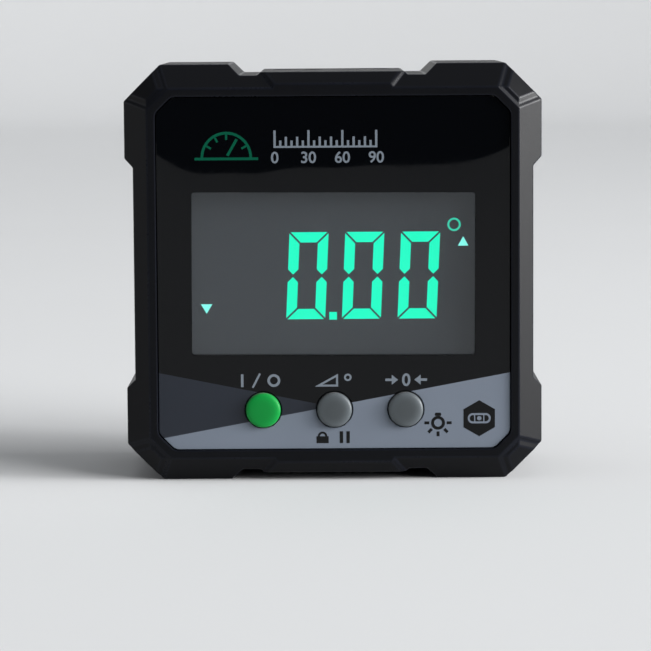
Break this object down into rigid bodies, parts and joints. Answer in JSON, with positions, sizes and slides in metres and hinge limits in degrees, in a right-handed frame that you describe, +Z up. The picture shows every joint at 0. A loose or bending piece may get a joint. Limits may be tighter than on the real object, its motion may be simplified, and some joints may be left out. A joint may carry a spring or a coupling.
{
  "type": "inclinometer",
  "caption": "Square digital inclinometer box with bumper corners, a lit angle display above a row of push buttons, edge magnets and a rear battery cover.",
  "frame": {"origin": "centre of the box's footprint, on the surface that it stands on", "axes": "+X to the right of a reader, +Y to the back, +Z up; the display faces -Y"},
  "size_m": [0.062, 0.033, 0.062],
  "materials": {
    "housing": "fine spark texture, moulded ABS",
    "black_rubber": "matte",
    "lens": "polished, printed from behind",
    "adhesive": "thin foam film",
    "display_glass": "polished, with polariser film",
    "frame_plastic": "moulded",
    "connector_rubber": "layered silicone",
    "guide_acrylic": "clear, dotted back",
    "reflector_film": "white film",
    "led_resin": "clear tinted resin",
    "board_laminate": "solder mask on laminate",
    "chip_resin": "moulded epoxy",
    "sensor_lid": "moulded epoxy",
    "crystal_can": "plated",
    "green_button": "satin silicone",
    "grey_button": "satin silicone",
    "plunger_plastic": "moulded",
    "switch_plastic": "moulded",
    "seal_silicone": "matte silicone",
    "cell_sleeve": "shrink sleeve over a steel can",
    "nickel_strip": "nickel plated strip",
    "spring_wire": "nickel plated wire",
    "black_lead": "extruded sleeve",
    "red_lead": "extruded sleeve",
    "magnet_plating": "nickel plated",
    "screw_steel": "blackened zinc"
  },
  "bodies": {
    "case": {"front_shell": "housing", "rear_shell": "housing", "shell_seal": "black_rubber", "display_lens": "lens", "lens_adhesive": "adhesive", "lcd_glass": "display_glass", "lcd_frame": "frame_plastic", "lcd_connector": "connector_rubber", "backlight_guide": "guide_acrylic", "backlight_reflector": "reflector_film", "backlight_led_1": "led_resin", "backlight_led_2": "led_resin", "circuit_board": "board_laminate", "microcontroller": "chip_resin", "tilt_sensor": "sensor_lid", "clock_crystal": "crystal_can", "power_switch": "switch_plastic", "hold_switch": "switch_plastic", "zero_switch": "switch_plastic", "button_seal": "seal_silicone", "battery_cell_1": "cell_sleeve", "battery_cell_2": "cell_sleeve", "contact_negative": "nickel_strip", "contact_positive": "nickel_strip", "contact_link": "nickel_strip", "cell_spring_1": "spring_wire", "cell_spring_2": "spring_wire", "lead_negative": "black_lead", "lead_positive": "red_lead", "magnet_bottom_1": "magnet_plating", "magnet_bottom_2": "magnet_plating", "magnet_top_1": "magnet_plating", "magnet_top_2": "magnet_plating", "magnet_left_1": "magnet_plating", "magnet_left_2": "magnet_plating", "magnet_right_1": "magnet_plating", "magnet_right_2": "magnet_plating", "shell_screw_1": "screw_steel", "shell_screw_2": "screw_steel", "shell_screw_3": "screw_steel", "shell_screw_4": "screw_steel", "board_screw_1": "screw_steel", "board_screw_2": "screw_steel", "board_screw_3": "screw_steel", "board_screw_4": "screw_steel"},
    "power_key": {"power_button": "green_button", "power_plunger": "plunger_plastic"},
    "hold_key": {"hold_button": "grey_button", "hold_plunger": "plunger_plastic"},
    "zero_key": {"zero_button": "grey_button", "zero_plunger": "plunger_plastic"},
    "rear_cover": {"battery_cover": "housing", "cover_seal": "seal_silicone", "cover_screw_1": "screw_steel", "cover_screw_2": "screw_steel"}
  },
  "joints": [
    {"name": "power_press", "type": "slide", "parent": "case", "child": "power_key", "axis": [0, 1, 0], "range_m": [0, 0.0005], "stiffness_N_per_m": 800, "springref_m": -0.0005},
    {"name": "hold_press", "type": "slide", "parent": "case", "child": "hold_key", "axis": [0, 1, 0], "range_m": [0, 0.0005], "stiffness_N_per_m": 800, "springref_m": -0.0005},
    {"name": "zero_press", "type": "slide", "parent": "case", "child": "zero_key", "axis": [0, 1, 0], "range_m": [0, 0.0005], "stiffness_N_per_m": 800, "springref_m": -0.0005},
    {"name": "cover_lift", "type": "slide", "parent": "case", "child": "rear_cover", "axis": [0, 1, 0], "range_m": [0, 0.014]}
  ]
}
